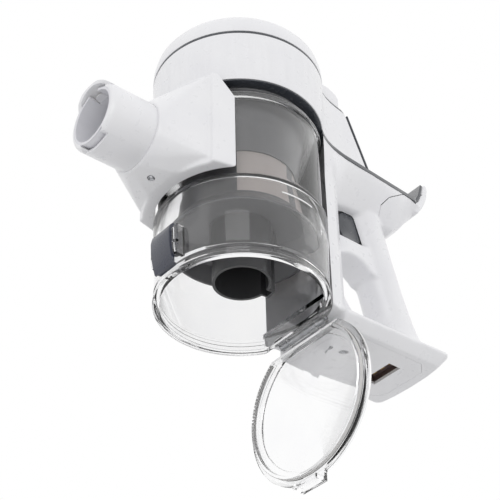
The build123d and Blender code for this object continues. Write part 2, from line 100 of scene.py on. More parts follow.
@dataclass
class Place:
    """Turns millimetres from the bin's rim into metres in the model's frame."""

    bin_height: float = 146.0

    def origin(self) -> Vector:
        """The centre of the bin's bottom rim, in metres.

        Returns:
            The point, taken from the cyclone body's axis and the top of the bin.
        """
        low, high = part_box("cyclone_body")
        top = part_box("dust_bin")[1].z
        return Vector(((low.x + high.x) / 2, (low.y + high.y) / 2, top - self.bin_height * MM))

    def at(self, x: float, y: float, z: float) -> Vector:
        """A point in metres from millimetres at the rim."""
        return self.origin() + Vector((x, y, z)) * MM

    def settle(self, bm: bmesh.types.BMesh) -> None:
        """Scale a mesh drawn in millimetres and move it into place."""
        bmesh.ops.scale(bm, vec=(MM, MM, MM), verts=bm.verts)
        bmesh.ops.translate(bm, vec=self.origin(), verts=bm.verts)


PLACE = Place()


# ---- node helper and colours ----------------------------------------------------------------


def linear(colour: str) -> tuple[float, float, float, float]:
    """Turn an sRGB hex colour into linear red, green, blue and alpha.

    Args:
        colour: Six hex digits, such as "E6E6E9".

    Returns:
        The linear colour with an alpha of 1.
    """
    channels = [int(colour[start:start + 2], 16) / 255 for start in (0, 2, 4)]
    red, green, blue = [c / 12.92 if c <= 0.04045 else ((c + 0.055) / 1.055) ** 2.4 for c in channels]
    return (red, green, blue, 1.0)


def add_node(tree: Tree, kind: str, settings: dict | None = None, links: dict | None = None,
             **options: object) -> bpy.types.Node:
    """Add one shader node.

    Args:
        tree: The node tree that takes it.
        kind: Blender's type name of the node.
        settings: Input values by socket name or number.
        links: Output sockets that feed inputs, by the input's name or number.
        options: Properties of the node itself.

    Returns:
        The new node.
    """
    node = tree.nodes.new(kind)
    for name, value in options.items():
        setattr(node, name, value)
    for socket, value in (settings or {}).items():
        node.inputs[socket].default_value = value
    for socket, source in (links or {}).items():
        tree.links.new(source, node.inputs[socket])
    return node


# ---- finishes -------------------------------------------------------------------------------


@dataclass(frozen=True)
class Finish:
    """What every finish has: a name, the shader that it starts from, and a two-tone colour with a relief."""

    name: str

    def start(self) -> tuple[bpy.types.Material, bpy.types.Node, Socket]:
        """Make the empty material.

        Returns:
            The material, its shader and the object coordinates that patterns follow.
        """
        material = bpy.data.materials.new(self.name)
        material.use_nodes = True
        tree = material.node_tree
        tree.nodes.clear()
        shader = add_node(tree, "ShaderNodeBsdfPrincipled")
        add_node(tree, "ShaderNodeOutputMaterial", links={"Surface": shader.outputs["BSDF"]})
        coordinates = add_node(tree, "ShaderNodeTexCoord").outputs["Object"]
        return material, shader, coordinates

    def blotches(self, tree: Tree, where: Socket, size_mm: float, detail: float = 3.0, low: float = 0.0,
                 high: float = 1.0) -> tuple[Socket, Socket]:
        """Make an uneven pattern.

        Args:
            tree: The node tree that takes it.
            where: The coordinates that it follows.
            size_mm: How far across one blotch is.
            detail: How much finer noise it carries.
            low: The value in the darkest blotches.
            high: The value in the brightest.

        Returns:
            The plain noise, and the same noise stretched from low to high.
        """
        noise = add_node(tree, "ShaderNodeTexNoise", {"Scale": 1 / (size_mm * MM), "Detail": detail},
                         {"Vector": where}).outputs["Fac"]
        limits = {"From Min": 0.3, "From Max": 0.7, "To Min": low, "To Max": high}
        stretched = add_node(tree, "ShaderNodeMapRange", limits, {"Value": noise})
        return noise, stretched.outputs["Result"]

    def round_axis(self, tree: Tree, where: Socket) -> tuple[Socket, Socket]:
        """Measure round the cyclone axis.

        Args:
            tree: The node tree that takes it.
            where: The object coordinates.

        Returns:
            The angle round the axis and the height above the bin's rim, in metres.
        """
        centred = add_node(tree, "ShaderNodeMapping", {"Location": -PLACE.origin()}, {"Vector": where})
        parts = add_node(tree, "ShaderNodeSeparateXYZ", links={"Vector": centred.outputs["Vector"]})
        angle = add_node(tree, "ShaderNodeMath", links={0: parts.outputs["Y"], 1: parts.outputs["X"]},
                         operation="ARCTAN2")
        return angle.outputs[0], parts.outputs["Z"]

    def wave(self, tree: Tree, value: Socket, rate: float) -> Socket:
        """A sine of a value times a rate."""
        scaled = add_node(tree, "ShaderNodeMath", {1: rate}, {0: value}, operation="MULTIPLY").outputs[0]
        return add_node(tree, "ShaderNodeMath", links={0: scaled}, operation="SINE").outputs[0]

    def face(self, tree: Tree, shader: bpy.types.Node, tone: Socket, tones: tuple[str, str], height: Socket,
             depth_mm: float, strength: float = 1.0) -> None:
        """Wire a two-tone colour and a relief into the shader.

        Args:
            tree: The node tree of both.
            shader: The shader that takes them.
            tone: How far the colour is towards the second tone.
            tones: Two hex colours.
            height: The relief, between 0 and 1.
            depth_mm: How deep the relief goes.
            strength: How strongly it tilts the surface.
        """
        first, second = (linear(tone_hex) for tone_hex in tones)
        colour = add_node(tree, "ShaderNodeMix", {6: first, 7: second}, {0: tone},
                          data_type="RGBA").outputs[2]
        normal = add_node(tree, "ShaderNodeBump", {"Strength": strength, "Distance": depth_mm * MM},
                          {"Height": height}).outputs["Normal"]
        tree.links.new(colour, shader.inputs["Base Color"])
        tree.links.new(normal, shader.inputs["Normal"])


@dataclass(frozen=True)
class MouldedPlastic(Finish):
    """Moulded plastic, mostly ABS: an even colour, a soft sheen and a fine spark-eroded grain."""

    colour: str
    shade: str
    roughness: float
    grain_mm: float = 2.4
    grain_depth_mm: float = 0.003
    coat: float = 0.0
    flow_mm: float = 34.0
    wear_mm: float = 6.0
    ior: float = 1.53
    coat_roughness: float = 0.08

    def material(self) -> bpy.types.Material:
        """Build the node material.

        Returns:
            The finished material.
        """
        material, shader, where = self.start()
        tree = material.node_tree
        _, flow = self.blotches(tree, where, self.flow_mm, 2.0)
        _, wear = self.blotches(tree, where, self.wear_mm, 4.0, self.roughness - 0.04, self.roughness + 0.05)
        # The real grain is about 0.1 mm across and would not show, so it is drawn coarser.
        grain = add_node(tree, "ShaderNodeTexNoise", {"Scale": 1 / (self.grain_mm * MM), "Detail": 2.0},
                         {"Vector": where}).outputs["Fac"]
        self.face(tree, shader, flow, (self.colour, self.shade), grain, self.grain_depth_mm)
        tree.links.new(wear, shader.inputs["Roughness"])
        shader.inputs["IOR"].default_value = self.ior
        shader.inputs["Coat Weight"].default_value = self.coat
        shader.inputs["Coat Roughness"].default_value = self.coat_roughness
        return material


@dataclass(frozen=True)
class ClearPlastic(Finish):
    """Clear polycarbonate: glassy and neutral, with slight waves from the mould."""

    colour: str
    shade: str
    roughness: float = 0.015
    wave_mm: float = 26.0
    polish_mm: float = 9.0
    wave_depth_mm: float = 0.04
    ior: float = 1.58

    def material(self) -> bpy.types.Material:
        """Build the node material.

        Returns:
            The finished material.
        """
        material, shader, where = self.start()
        tree = material.node_tree
        haze, tone = self.blotches(tree, where, self.wave_mm)
        _, polish = self.blotches(tree, where, self.polish_mm, 3.0, self.roughness, self.roughness + 0.03)
        self.face(tree, shader, tone, (self.colour, self.shade), haze, self.wave_depth_mm, 0.5)
        tree.links.new(polish, shader.inputs["Roughness"])
        shader.inputs["Transmission Weight"].default_value = 1.0
        shader.inputs["IOR"].default_value = self.ior
        return material


@dataclass(frozen=True)
class EtchedScreen(Finish):
    """Chemically etched stainless screen: taupe metal with rows of fine holes round the cyclone axis."""

    colour: str
    hole: str
    pitch_mm: float = 1.3
    radius_mm: float = 43.7
    hole_depth_mm: float = 0.05
    metallic: float = 0.35
    roughness: float = 0.42

    def material(self) -> bpy.types.Material:
        """Build the node material. The real holes are about 0.3 mm apart, so they are drawn coarser.

        Returns:
            The finished material.
        """
        material, shader, where = self.start()
        tree = material.node_tree
        angle, height = self.round_axis(tree, where)
        columns = round(2 * math.pi * self.radius_mm / self.pitch_mm)
        across = self.wave(tree, angle, float(columns))
        upward = self.wave(tree, height, 2 * math.pi / (self.pitch_mm * MM))
        product = add_node(tree, "ShaderNodeMath", links={0: across, 1: upward},
                           operation="MULTIPLY").outputs[0]
        holes = add_node(tree, "ShaderNodeMapRange", {"From Min": 0.1, "From Max": 0.6},
                         {"Value": product}).outputs["Result"]
        metal = add_node(tree, "ShaderNodeMath", {0: 1.0}, {1: holes}, operation="SUBTRACT").outputs[0]
        self.face(tree, shader, holes, (self.colour, self.hole), metal, self.hole_depth_mm)
        shader.inputs["Metallic"].default_value = self.metallic
        shader.inputs["Roughness"].default_value = self.roughness
        return material


@dataclass(frozen=True)
class TurnedMetal(Finish):
    """Ground or drawn metal: bright, with fine lines across its length and a little uneven polish."""

    colour: str
    shade: str
    roughness: float
    line_mm: float = 0.6
    line_depth_mm: float = 0.008
    polish_mm: float = 5.0

    def material(self) -> bpy.types.Material:
        """Build the node material.

        Returns:
            The finished material.
        """
        material, shader, where = self.start()
        tree = material.node_tree
        # The real lines are under 0.1 mm apart and would not show, so they are drawn coarser.
        drawn_out = add_node(tree, "ShaderNodeMapping", {"Scale": (0.1, 0.1, 1.0)}, {"Vector": where})
        lines, gloss = self.blotches(tree, drawn_out.outputs["Vector"], self.line_mm, 2.0,
                                     self.roughness - 0.06, self.roughness + 0.08)
        _, polish = self.blotches(tree, where, self.polish_mm)
        self.face(tree, shader, polish, (self.colour, self.shade), lines, self.line_depth_mm)
        tree.links.new(gloss, shader.inputs["Roughness"])
        shader.inputs["Metallic"].default_value = 1.0
        return material


@dataclass(frozen=True)
class MouldedRubber(Finish):
    """Silicone or rubber: matt, a little dusty, with a soft pebbled face."""

    colour: str
    dust: str
    dust_mm: float = 4.0
    pebble_mm: float = 0.8
    pebble_depth_mm: float = 0.02
    roughness: float = 0.72
    ior: float = 1.41

    def material(self) -> bpy.types.Material:
        """Build the node material.

        Returns:
            The finished material.
        """
        material, shader, where = self.start()
        tree = material.node_tree
        _, dusty = self.blotches(tree, where, self.dust_mm, 5.0, 0.0, 0.5)
        # The real pebbles are about 0.1 mm across, so they are drawn coarser.
        pebbles = add_node(tree, "ShaderNodeTexNoise", {"Scale": 1 / (self.pebble_mm * MM), "Detail": 3.0},
                           {"Vector": where}).outputs["Fac"]
        self.face(tree, shader, dusty, (self.colour, self.dust), pebbles, self.pebble_depth_mm)
        shader.inputs["Roughness"].default_value = self.roughness
        shader.inputs["IOR"].default_value = self.ior
        return material


@dataclass(frozen=True)
class PleatedPaper(Finish):
    """Pleated filter media: off-white fibres folded into pleats that run out from the axis; valleys get
    painted shade.
    """

    colour: str
    # The darker tone is painted shade for the pleats' valleys, not a colour of the fleece.
    painted_valley_shade: str
    pleats: int = 90
    fold_depth_mm: float = 0.8
    roughness: float = 0.9

    def material(self) -> bpy.types.Material:
        """Build the node material.

        Returns:
            The finished material.
        """
        material, shader, where = self.start()
        tree = material.node_tree
        angle, _ = self.round_axis(tree, where)
        pleat_relief_and_shade = add_node(tree, "ShaderNodeMapRange", {"From Min": -1.0, "From Max": 1.0},
                         {"Value": self.wave(tree, angle, float(self.pleats))}).outputs["Result"]
        # The valleys take the darker tone: painted shade that follows the relief.
        self.face(tree, shader, pleat_relief_and_shade, (self.painted_valley_shade, self.colour), pleat_relief_and_shade, self.fold_depth_mm)
        shader.inputs["Roughness"].default_value = self.roughness
        return material


@dataclass(frozen=True)
class EtchedBoard(Finish):
    """Circuit board: green solder mask over copper tracks."""

    colour: str
    track: str
    track_mm: float = 3.0
    track_depth_mm: float = 0.03
    roughness: float = 0.3

    def material(self) -> bpy.types.Material:
        """Build the node material.

        Returns:
            The finished material.
        """
        material, shader, where = self.start()
        tree = material.node_tree
        cells = add_node(tree, "ShaderNodeTexVoronoi", {"Scale": 1 / (self.track_mm * MM)}, {"Vector": where},
                         feature="DISTANCE_TO_EDGE", distance="EUCLIDEAN").outputs["Distance"]
        mask = add_node(tree, "ShaderNodeMapRange", {"From Min": 0.05, "From Max": 0.09},
                        {"Value": cells}).outputs["Result"]
        self.face(tree, shader, mask, (self.track, self.colour), mask, self.track_depth_mm)
        shader.inputs["Roughness"].default_value = self.roughness
        return material


FINISHES: dict[str, Finish] = {
    # Satin white ABS is neutral with a hint of blue, and its sheen is broad.
    "white_abs": MouldedPlastic("SatinWhiteAbs", "E8E8EA", "E4E4E7", 0.30, coat=0.15),
    # Clear polycarbonate is nearly colourless, and bright lines run along its beads.
    "clear_pc": ClearPlastic("ClearPolycarbonate", "FDFDFD", "FAFAFB"),
    # The inlet's ABS is a touch greyer than the casings.
    "tube_abs": MouldedPlastic("LightGreyAbs", "DCDCE0", "D6D6DB", 0.34),
    # Dark trim is polished in the tool, so it takes sharper highlights.
    "dark_trim": MouldedPlastic("PolishedGraphiteAbs", "3F4248", "373A40", 0.24, coat=0.4),
    # Black acrylic over the screen is nearly a mirror.
    "display_glass": MouldedPlastic("BlackScreenAcrylic", "0C0D10", "121318", 0.09, grain_depth_mm=0.001,
                                    coat=0.8),
    # Slate ABS reads as navy in its highlights.
    "latch_abs": MouldedPlastic("NavySlateAbs", "2D3243", "272B3A", 0.27, coat=0.4),
    # The parts inside the bin are mid greys, satin rather than glossy.
    "cyclone_abs": MouldedPlastic("CycloneGreyAbs", "636366", "5B5B5E", 0.33, coat=0.1),
    "dust_tube_abs": MouldedPlastic("DustTubeGreyAbs", "454547", "3E3E40", 0.36),
    "shroud_abs": MouldedPlastic("ShroudGreyAbs", "5F5F62", "565659", 0.4),
    # Etched stainless looks like warm, dim fabric.
    "mesh_steel": EtchedScreen("EtchedScreenSteel", "C6BDB9", "A59B97"),
    # Black silicone holds a little dust.
    "seal_rubber": MouldedRubber("SealSilicone", "3A3A3D", "55565A"),
    # Clear silicone looks pale and milky where it is this thin.
    "seal_clear": MouldedRubber("TranslucentSilicone", "D6D5D4", "CBCAC9"),
    # Filter fleece is off-white and quite matt, and its pleat valleys carry painted shade.
    "filter_media": PleatedPaper("PleatedFilterFleece", "E8E6DF", "B9B6AC"),
    # Steels run from the dull wire of a spring to the polish of a bearing.
    "pin_steel": TurnedMetal("GroundSteel", "C6C7CA", "AEB0B4", 0.3),
    "spring_steel": TurnedMetal("SpringSteelWire", "9FA1A5", "85878B", 0.34),
    "bearing_steel": TurnedMetal("BearingSteel", "CFD0D2", "B8BABD", 0.18),
    # Umber ABS is a warm brown-grey.
    "dock_abs": MouldedPlastic("UmberAbs", "5A4A48", "50413F", 0.42),
    # A gold flash keeps brass contacts bright and yellow.
    "contact_brass": TurnedMetal("GoldFlashedBrass", "DDBE76", "C7A65F", 0.24),
    # Nylons are near black and matt, and glass fibre roughens the motor's.
    "socket_abs": MouldedPlastic("BlackNylon", "2A2B2E", "232427", 0.5),
    "motor_abs": MouldedPlastic("GlassFilledNylon", "3C3D41", "333438", 0.55, grain_mm=0.8,
                                grain_depth_mm=0.02),
    "cell_plate": MouldedPlastic("CellHolderNylon", "2B2C2F", "242528", 0.55),
    # Cast alloy is pale and coarse, and stacked steel is dark and finely lined.
    "motor_alloy": TurnedMetal("DieCastAlloy", "B9BABD", "A2A4A8", 0.45, line_mm=2.0),
    "magnet_steel": TurnedMetal("LaminatedSteel", "77787C", "626367", 0.42, line_mm=0.5),
    # Enamel deepens the copper's orange.
    "coil_copper": TurnedMetal("EnamelledCopper", "B4673A", "93502A", 0.3, line_mm=0.7),
    # Shrunk film over the cells is teal and shiny.
    "cell_sleeve": MouldedPlastic("CellSleeveFilm", "2F6C86", "285E76", 0.22, coat=0.3),
    # Solder mask is glossy green, paler along the tracks.
    "board_green": EtchedBoard("SolderMaskGreen", "1E5B3C", "7E8A3C"),
    # Printed ink is flat white.
    "level_ink": MouldedPlastic("PrintedWhiteInk", "F1F1F1", "E6E6E6", 0.55),
}


class Paintbox:
    """Makes each finish's material once and hands it out by slot."""

    def __init__(self) -> None:
        """Start with no material made."""
        self.made: dict[str, bpy.types.Material] = {}

    def get(self, slot: str) -> bpy.types.Material:
        """The material of a slot, made on first use."""
        if slot not in self.made:
            self.made[slot] = FINISHES[slot].material()
        return self.made[slot]

    def dress_nodes(self) -> None:
        """Give every CAD node the material of its slot."""
        for name, node in frame["nodes"].items():
            node.data.materials.clear()
            node.data.materials.append(self.get(SLOTS[name]))


PAINT = Paintbox()


# ---- mesh helpers -----------------------------------------------------------------------------


def new_object(name: str, bm: bmesh.types.BMesh) -> bpy.types.Object:
    """Turn a finished mesh into an object at the origin.

    Args:
        name: The object's name.
        bm: The mesh, which is freed.

    Returns:
        The new object, linked to the scene.
    """
    mesh = bpy.data.meshes.new(name)
    bm.to_mesh(mesh)
    bm.free()
    obj = bpy.data.objects.new(name, mesh)
    bpy.context.scene.collection.objects.link(obj)
    return obj


def publish(obj: bpy.types.Object, body: Body, slot: str, *nodes: str) -> bpy.types.Object:
    """Dress a piece, let it ride on its body and put it in place of its CAD nodes.

    Args:
        obj: The piece.
        body: The body that it moves with.
        slot: The material slot of its finish.
        nodes: The CAD nodes that it stands for.

    Returns:
        The same piece.
    """
    obj.data.materials.clear()
    obj.data.materials.append(PAINT.get(slot))
    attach(obj, body.value)
    if nodes:
        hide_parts(*nodes)
    LOG.info("piece %s: %d faces, on %s, for %s", obj.name, len(obj.data.polygons), body.value,
             nodes or "itself")
    return obj


def ring_loop(bm: bmesh.types.BMesh, points: Sequence[Point]) -> list[bmesh.types.BMEdge]:
    """Add a closed loop of edges through points."""
    verts = [bm.verts.new(point) for point in points]
    return [bm.edges.new((verts[i - 1], verts[i])) for i in range(len(verts))]


def lofted(bm: bmesh.types.BMesh, loops: Sequence[Sequence[Point]]) -> None:
    """Bridge a row of closed loops and close both ends.

    Args:
        bm: The mesh that takes the skin.
        loops: Loops with the same number of points, in order along the piece.
    """
    rings = [ring_loop(bm, loop) for loop in loops]
    for first, second in zip(rings, rings[1:]):
        bmesh.ops.bridge_loops(bm, edges=first + second)
    for end in (rings[0], rings[-1]):
        bmesh.ops.edgeloop_fill(bm, edges=end)


def prism(bm: bmesh.types.BMesh, outline: Sequence[Point], along: Point) -> None:
    """Extrude a closed outline.

    Args:
        bm: The mesh that takes the solid.
        outline: The corners, in order.
        along: How far and which way it grows.
    """
    verts = [bm.verts.new(point) for point in outline]
    face = bm.faces.new(verts)
    grown = bmesh.ops.extrude_face_region(bm, geom=[face])["geom"]
    tops = [item for item in grown if isinstance(item, bmesh.types.BMVert)]
    bmesh.ops.translate(bm, vec=along, verts=tops)


def side_prism(bm: bmesh.types.BMesh, outline: Outline, half: float) -> None:
    """Extrude an (x, z) outline to both sides of the middle plane."""
    prism(bm, [(x, -half, z) for x, z in outline], (0, 2 * half, 0))


def plan_prism(bm: bmesh.types.BMesh, half: Outline, low: float, high: float) -> None:
    """Extrude half an (x, y) outline, joined to its mirror.

    Args:
        bm: The mesh that takes the solid.
        half: The corners on the left, from front to back.
        low: Height of the bottom.
        high: Height of the top.
    """
    left = [(x, y, low) for x, y in half]
    right = [(x, -y, low) for x, y in reversed(half)]
    prism(bm, left + right, (0, 0, high - low))


def arc(centre: Flat, radius: float, start: float, end: float, count: int) -> list[Flat]:
    """Points along an arc, from start to end in degrees."""
    turns = [math.radians(start + (end - start) * step / (count - 1)) for step in range(count)]
    return [(centre[0] + radius * math.cos(turn), centre[1] + radius * math.sin(turn)) for turn in turns]


def outward(bm: bmesh.types.BMesh) -> None:
    """Merge doubled points and turn every face outwards."""
    bmesh.ops.remove_doubles(bm, verts=bm.verts, dist=1e-5)
    bmesh.ops.recalc_face_normals(bm, faces=bm.faces)


def apply_modifiers(obj: bpy.types.Object) -> None:
    """Bake the live modifiers into the mesh.

    Args:
        obj: The piece, which is left with no modifier.
    """
    graph = bpy.context.evaluated_depsgraph_get()
    mesh = bpy.data.meshes.new_from_object(obj.evaluated_get(graph))
    obj.modifiers.clear()
    obj.data = mesh


def remeshed(obj: bpy.types.Object, voxel_mm: float, passes: int) -> None:
    """Weld overlapping solids into one skin and soften its edges.

    Args:
        obj: The piece, in metres.
        voxel_mm: Size of the grid, in millimetres.
        passes: How many times the points are averaged.
    """
    grid = obj.modifiers.new("weld", "REMESH")
    grid.mode = "VOXEL"
    grid.voxel_size = voxel_mm * MM
    apply_modifiers(obj)
    bm = bmesh.new()
    bm.from_mesh(obj.data)
    for _ in range(passes):
        bmesh.ops.smooth_vert(bm, verts=bm.verts, factor=0.5, use_axis_x=True, use_axis_y=True,
                              use_axis_z=True)
    bm.to_mesh(obj.data)
    bm.free()


class Cut(str, Enum):
    """How a solid changes a piece."""

    AWAY = "DIFFERENCE"
    ON = "UNION"


def boolean(obj: bpy.types.Object, tool: bpy.types.Object, how: Cut) -> None:
    """Cut another object out of a piece, or weld it on.

    Args:
        obj: The piece.
        tool: The other object, which is removed.
        how: Whether it goes away from the piece or onto it.
    """
    cut = obj.modifiers.new("cut", "BOOLEAN")
    cut.operation = how.value
    cut.solver = "MANIFOLD"
    cut.object = tool
    apply_modifiers(obj)
    bpy.data.objects.remove(tool)


def drawn(shape: Callable[..., None], *sizes: object) -> bmesh.types.BMesh:
    """A new mesh that holds one shape."""
    bm = bmesh.new()
    shape(bm, *sizes)
    return bm


def carve(obj: bpy.types.Object, solid: bmesh.types.BMesh, how: Cut = Cut.AWAY) -> None:
    """Cut a solid, drawn in millimetres, out of a piece, or weld it on.

    Args:
        obj: The piece, in metres.
        solid: One closed solid.
        how: Whether the solid goes away from the piece or onto it.
    """
    outward(solid)
    PLACE.settle(solid)
    boolean(obj, new_object("tool", solid), how)


def drum(bm: bmesh.types.BMesh, radius: float, low: float, high: float, sides: int = 160) -> None:
    """A cylinder about the cyclone axis."""
    middle = Matrix.Translation((0, 0, (low + high) / 2))
    bmesh.ops.create_cone(bm, cap_ends=True, segments=sides, radius1=radius, radius2=radius, depth=high - low,
                          matrix=middle)


def lying_drum(bm: bmesh.types.BMesh, radius: float, start: float, end: float, height: float,
               sides: int = 96) -> None:
    """A cylinder along X at a height."""
    turned = Matrix.Translation(((start + end) / 2, 0, height)) @ Matrix.Rotation(math.pi / 2, 4, "Y")
    bmesh.ops.create_cone(bm, cap_ends=True, segments=sides, radius1=radius, radius2=radius,
                          depth=end - start, matrix=turned)


def spun(bm: bmesh.types.BMesh, profile: Outline, steps: int = 180) -> None:
    """Turn a profile about the cyclone axis into a solid.

    Args:
        bm: The mesh that takes the solid.
        profile: Points of (radius, height), which start and end on the axis.
        steps: How many sides the solid has.
    """
    verts = [bm.verts.new((r, 0, z)) for r, z in profile]
    edges = [bm.edges.new(pair) for pair in zip(verts, verts[1:])]
    bmesh.ops.spin(bm, geom=verts + edges, axis=(0, 0, 1), cent=(0, 0, 0), steps=steps,
                   angle=2 * math.pi, use_merge=True)
    bmesh.ops.remove_doubles(bm, verts=bm.verts, dist=1e-4)
    bmesh.ops.recalc_face_normals(bm, faces=bm.faces)


def cross_drum(bm: bmesh.types.BMesh, radius: float, sides: Flat, x: float, z: float) -> None:
    """A cylinder along Y.

    Args:
        bm: The mesh that takes it.
        radius: Its radius.
        sides: The y of its two ends, lowest first.
        x: Where its axis lies.
        z: The height of its axis.
    """
    low, high = sides
    turned = Matrix.Translation((x, (low + high) / 2, z)) @ Matrix.Rotation(math.pi / 2, 4, "X")
    bmesh.ops.create_cone(bm, cap_ends=True, segments=32, radius1=radius, radius2=radius, depth=high - low,
                          matrix=turned)


def brick(bm: bmesh.types.BMesh, low: Point, high: Point) -> None:
    """A box.

    Args:
        bm: The mesh that takes it.
        low: Its corner of least x, y and z.
        high: The opposite corner.
    """
    size = [b - a for a, b in zip(low, high)]
    middle = Matrix.Translation([(a + b) / 2 for a, b in zip(low, high)])
    bmesh.ops.create_cube(bm, size=1.0, matrix=middle @ Matrix.Diagonal((*size, 1.0)))


def shade(obj: bpy.types.Object, crease: float = 38.0) -> None:
    """Shade a piece smooth, but keep its sharp edges.

    Args:
        obj: The piece.
        crease: The angle in degrees past which an edge counts as sharp.
    """
    bm = bmesh.new()
    bm.from_mesh(obj.data)
    limit = math.radians(crease)
    for face in bm.faces:
        face.smooth = True
    for edge in bm.edges:
        edge.smooth = not (edge.is_manifold and edge.calc_face_angle(0.0) > limit)
    bm.to_mesh(obj.data)
    bm.free()


# ---- sub-assemblies -----------------------------------------------------------------------------


@dataclass
class HandleShell:
    """White casing of the handle: spine, trigger arch, grip, pod, hook and foot in one flowing skin."""

    voxel_mm: float = 1.05
    passes: int = 9
    deck_z: float = 151.2
    bay_r: float = 62.7
    foot_low: float = -4.0
    foot_top: float = 11.2
    grip_r: float = 16.4
    grip_back: float = 163.0
    web_half: float = 12.5
    spine_half: float = 14.0
    hook_half: float = 22.5
    slot_half: float = 8.5
    deck_back: float = -157.0
    bay_z: Flat = (-20.0, 240.0)
    deck_half: float = 70.0
    cut_high: float = 60.0
    cut_half: float = 60.0
    under_low: Point = (-200.0, -60.0, -40.0)
    plate_depth: float = 2.45
    plate: Outline = ((-65.8, 27.15), (-143.1, 27.15), (-151.15, 19.1))
    dock_low: Point = (-136.6, -15.2, -20.0)
    dock_high: Point = (-122.4, 15.2, 4.2)
    seam_gap: float = 0.45
    # Each rib is its x, its half-width at the deck, the height of its keel and the half-width of its keel.
    ribs: tuple[tuple[float, float, float, float], ...] = (
        (-44.0, 44.0, 108.0, 38.0), (-50.0, 40.3, 108.0, 34.0), (-56.0, 37.6, 109.0, 30.0),
        (-62.0, 35.8, 111.0, 25.5), (-70.0, 34.2, 116.0, 19.0), (-80.0, 33.0, 121.0, 15.0),
        (-92.0, 32.4, 124.5, 14.0), (-106.0, 31.8, 125.5, 14.0), (-124.0, 30.6, 124.5, 14.0),
        (-141.0, 29.5, 124.5, 14.0), (-150.0, 28.7, 132.0, 14.0), (-158.0, 27.2, 142.0, 14.0),
        (-164.5, 25.0, 149.5, 14.0))

    def rib(self, x: float, half: float, low: float, keel: float) -> list[Point]:
        """One cross-section of the boat-shaped top.

        Args:
            x: Where the section stands.
            half: Its half-width at the deck.
            low: The height of its keel.
            keel: The half-width of its keel.

        Returns:
            A closed loop of points, from the left edge of the deck round the keel to the right.
        """
        steps = 10
        depth = self.deck_z + 2 - low
        left = []
        for step in range(steps + 1):
            down = step / steps
            left.append((x, keel + (half - keel) * (1 - down ** 1.5), self.deck_z + 2 - depth * down ** 1.15))
        left += [(x, keel * 0.62, low - 1.2), (x, keel * 0.2, low - 1.6)]
        return left + [(px, -py, pz) for px, py, pz in reversed(left)]

    def grip(self, bm: bmesh.types.BMesh, sides: int = 40) -> None:
        """The slanting grip, which swells towards the foot.

        Args:
            bm: The mesh that takes it.
            sides: How many points go round it.
        """
        rows = [(-115.5, 136.0, 1.08), (-119.5, 122.0, 1.03), (-127.5, 94.0, 1.0), (-135.5, 66.0, 1.0),
                (-142.6, 41.0, 1.05), (-145.4, 31.0, 1.13), (-147.0, 24.0, 1.27), (-147.8, 18.0, 1.52),
                (-148.2, 13.0, 1.85), (-148.4, 8.0, 2.1)]
        loops = []
        for x, z, swell in rows:
            radius = self.grip_r * swell
            reach = min(radius, self.grip_back + x)
            ring = []
            for step in range(sides):
                turn = 2 * math.pi * step / sides
                forward = radius if math.cos(turn) > 0 else reach
                ring.append((x + forward * math.cos(turn), radius * math.sin(turn), z))
            loops.append(ring)
        lofted(bm, loops)

    def spine(self, bm: bmesh.types.BMesh) -> None:
        """The column behind the bin, with its swept fillet into the foot.

        Args:
            bm: The mesh that takes it.
        """
        column = [(-40, 38.0), (-50.7, 35.6), (-63.0, 32.6), (-73.0, 25.0), (-80.0, 15.0), (-80.6, 9.0)]
        plan_prism(bm, column, self.foot_top - 6, 140)
        curve = [(-72.0, 4.0), (-72.0, 60.0)] + arc((-124.0, 58.0), 44.0, 0, -70, 10) + [(-122.0, 4.0)]
        side_prism(bm, curve, self.spine_half)

    def web(self, bm: bmesh.types.BMesh) -> None:
        """The bridge under the trigger, between the spine and the grip."""
        under = arc((-98.0, 61.0), 21.5, 30, 145, 10)
        side_prism(bm, [(-76.0, 97.0), (-76.0, 70.0)] + under + [(-124.0, 72.0), (-124.0, 97.0)],
                   self.web_half)

    def hook(self, bm: bmesh.types.BMesh) -> None:
        """The upswept rear hook, whose back flows down into the pod."""
        outer = [(-163.0, 146.5), (-170.5, 157.0), (-175.3, 167.0), (-177.4, 176.0), (-177.0, 181.0)]
        inner = [(-175.5, 183.0), (-172.6, 180.5), (-170.4, 171.0), (-166.0, 161.5), (-160.0, 154.5),
                 (-150.0, 149.5)]
        side_prism(bm, outer + inner, self.hook_half)

    def foot(self, bm: bmesh.types.BMesh) -> None:
        """The flat foot, widest a little above its underside.

        Args:
            bm: The mesh that takes it.
        """
        levels = [(self.foot_low - 0.6, 29.5, 31.0, -156.5), (self.foot_low + 0.4, 30.5, 32.5, -158.5),
                  (4.0, 36.5, 39.8, -163.5), (5.6, 36.4, 39.4, -163.4), (9.5, 33.0, 31.5, -159.0),
                  (self.foot_top + 1.5, 30.0, 26.0, -156.0)]
        loops = []
        for z, front, rear, back in levels:
            left = [(-63.3, 0.0, z), (-63.3, front * 0.5, z), (-63.3, front, z),
                    (-95.0, front * 0.66 + rear * 0.34, z), (-130.0, front * 0.3 + rear * 0.7, z),
                    (back + 4.5, rear, z), (back + 1.2, rear - 3.0, z), (back - 0.6, rear * 0.5, z)]
            loops.append(left + [(back - 1.2, 0.0, z)] + [(x, -y, z) for x, y, _ in reversed(left[1:])])
        lofted(bm, loops)

